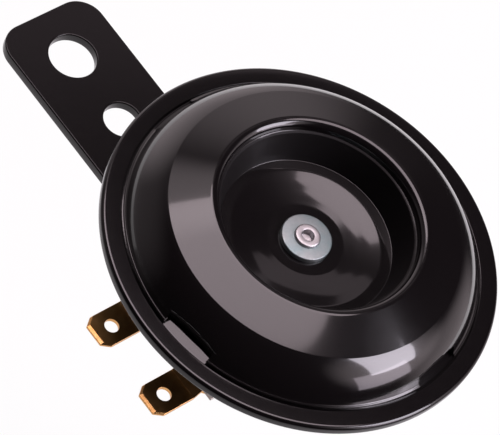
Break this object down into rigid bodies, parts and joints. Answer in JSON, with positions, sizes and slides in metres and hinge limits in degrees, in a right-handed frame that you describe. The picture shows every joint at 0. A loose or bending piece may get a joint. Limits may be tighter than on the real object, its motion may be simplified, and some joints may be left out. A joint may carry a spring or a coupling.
{
  "type": "electric disc horn",
  "caption": "Compact electric disc horn: black pressed tone disc in a crimped rim, stepped steel housing, spade terminals and a flat strip bracket with bolt holes.",
  "frame": {"origin": "centre of the bracket's large bolt hole, midway through the strip", "axes": "+Z along the hole, parallel to the horn's axis and the way it sounds; +Y along the bracket, away from the horn; the terminals point to -X"},
  "size_m": [0.072, 0.1031, 0.0405],
  "materials": {
    "gloss_black": "gloss",
    "bracket_paint": "satin",
    "zinc_steel": "zinc plated",
    "plain_steel": "turned",
    "spring_steel": "thin black lacquer",
    "spring_bronze": "rolled",
    "terminal_brass": "rolled",
    "contact_metal": "polished",
    "insulating_board": "pressed board",
    "gasket_paper": "oiled paper",
    "bobbin_plastic": "moulded",
    "copper_wire": "enamelled copper",
    "lead_sleeve": "varnished sleeve"
  },
  "bodies": {
    "horn_body": {"mounting_bracket": "bracket_paint", "rear_housing": "gloss_black", "rim_ring": "gloss_black", "diaphragm": "spring_steel", "diaphragm_gasket": "gasket_paper", "pole_core": "plain_steel", "coil_bobbin": "bobbin_plastic", "coil_winding": "copper_wire", "plain_washer": "zinc_steel", "lock_washer": "zinc_steel", "hex_nut": "zinc_steel", "terminal_blade_1": "terminal_brass", "terminal_blade_2": "terminal_brass", "terminal_rivet_1": "terminal_brass", "terminal_rivet_2": "terminal_brass", "inner_lug_1": "terminal_brass", "inner_lug_2": "terminal_brass", "terminal_insulator": "insulating_board", "inner_insulator": "insulating_board", "contact_base": "insulating_board", "contact_spacer": "insulating_board", "contact_arm": "spring_bronze", "contact_plate": "plain_steel", "moving_contact": "contact_metal", "fixed_contact": "contact_metal", "contact_rivet_1": "terminal_brass", "contact_rivet_2": "terminal_brass", "adjusting_bush": "terminal_brass", "adjusting_screw": "zinc_steel", "coil_lead_1": "copper_wire", "coil_lead_2": "copper_wire", "loop_lead": "lead_sleeve"},
    "vibrating_stack": {"armature": "plain_steel", "armature_stud": "plain_steel", "spacer_collar": "plain_steel", "tone_disc": "gloss_black", "tone_disc_washer": "zinc_steel"}
  },
  "joints": [
    {"name": "diaphragm_stroke", "type": "slide", "parent": "horn_body", "child": "vibrating_stack", "axis": [0, 0, 1], "range_m": [-0.00025, 0.00025], "stiffness_N_per_m": 3000, "deforming": ["diaphragm", "contact_arm"]}
  ]
}
